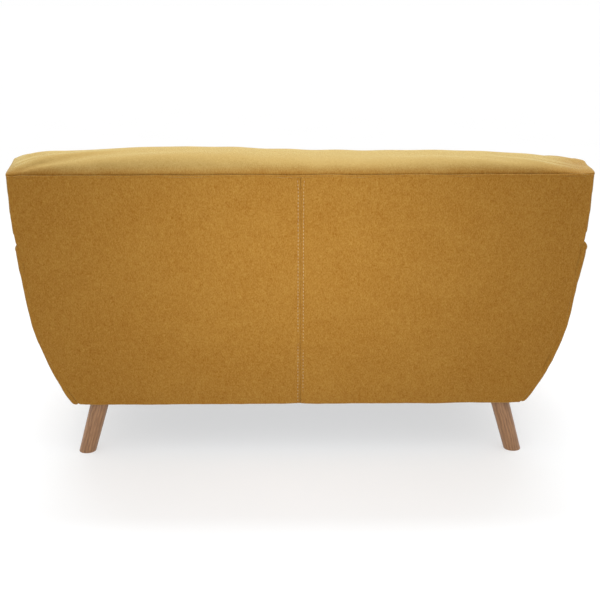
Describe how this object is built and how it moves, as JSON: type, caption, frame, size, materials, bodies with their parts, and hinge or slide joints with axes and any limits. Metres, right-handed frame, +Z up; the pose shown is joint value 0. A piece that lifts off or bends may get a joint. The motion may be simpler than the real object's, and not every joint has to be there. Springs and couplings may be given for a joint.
{
  "type": "two-seat sofa",
  "caption": "Upholstered two-seat sofa with a bowl-shaped body, a leaning padded back, two loose seat cushions and splayed round wooden legs.",
  "frame": {"origin": "on the floor, under the middle of the sofa's box", "axes": "+X to the sitter's left, along the sofa's width; +Y to the back, so the seat faces -Y; +Z up"},
  "size_m": [1.5, 0.7953, 0.8546],
  "materials": {
    "cover_fabric": "matte",
    "foam": "matte",
    "timber": "matte",
    "plywood": "matte",
    "leg_wood": "satin",
    "steel": "satin",
    "webbing": "matte",
    "dust_cloth": "matte",
    "black_plastic": "satin"
  },
  "bodies": {
    "sofa_frame": {"arm_core_left": "plywood", "arm_core_right": "plywood", "arm_front_facing_left": "cover_fabric", "arm_front_facing_right": "cover_fabric", "arm_front_rib_left": "plywood", "arm_front_rib_right": "plywood", "arm_inner_pad_left": "cover_fabric", "arm_inner_pad_right": "cover_fabric", "arm_outer_pad_left": "cover_fabric", "arm_outer_pad_right": "cover_fabric", "arm_top_pad_left": "cover_fabric", "arm_top_pad_right": "cover_fabric", "arm_top_rail_left": "timber", "arm_top_rail_right": "timber", "back_bottom_rail": "timber", "back_centre_post": "timber", "back_post_left": "timber", "back_post_right": "timber", "back_seat_rail": "timber", "back_side_pad_left": "cover_fabric", "back_side_pad_right": "cover_fabric", "back_top_rail": "timber", "back_top_welt": "cover_fabric", "back_webbing": "webbing", "base_centre_stretcher": "timber", "base_front_rail": "timber", "base_rear_rail": "timber", "base_side_rail_left": "timber", "base_side_rail_right": "timber", "dust_cover": "dust_cloth", "front_apron": "cover_fabric", "inside_back_pad": "cover_fabric", "leg_block_front_left": "timber", "leg_block_front_right": "timber", "leg_block_rear_left": "timber", "leg_block_rear_right": "timber", "leg_front_left": "leg_wood", "leg_front_right": "leg_wood", "leg_plate_front_left": "black_plastic", "leg_plate_front_right": "black_plastic", "leg_plate_rear_left": "black_plastic", "leg_plate_rear_right": "black_plastic", "leg_rear_left": "leg_wood", "leg_rear_right": "leg_wood", "leg_stud_front_left": "steel", "leg_stud_front_right": "steel", "leg_stud_rear_left": "steel", "leg_stud_rear_right": "steel", "outside_back_left": "cover_fabric", "outside_back_right": "cover_fabric", "seat_deck_pad": "cover_fabric", "seat_springs": "steel", "spring_cloth": "webbing"},
    "cushion_left": {"seat_cushion_cover_left": "cover_fabric", "seat_cushion_foam_left": "foam"},
    "cushion_right": {"seat_cushion_cover_right": "cover_fabric", "seat_cushion_foam_right": "foam"}
  },
  "joints": [
    {"name": "lift_left_cushion", "type": "slide", "parent": "sofa_frame", "child": "cushion_left", "axis": [0, 0, 1], "range_m": [0, 0.35]},
    {"name": "lift_right_cushion", "type": "slide", "parent": "sofa_frame", "child": "cushion_right", "axis": [0, 0, 1], "range_m": [0, 0.35]}
  ]
}
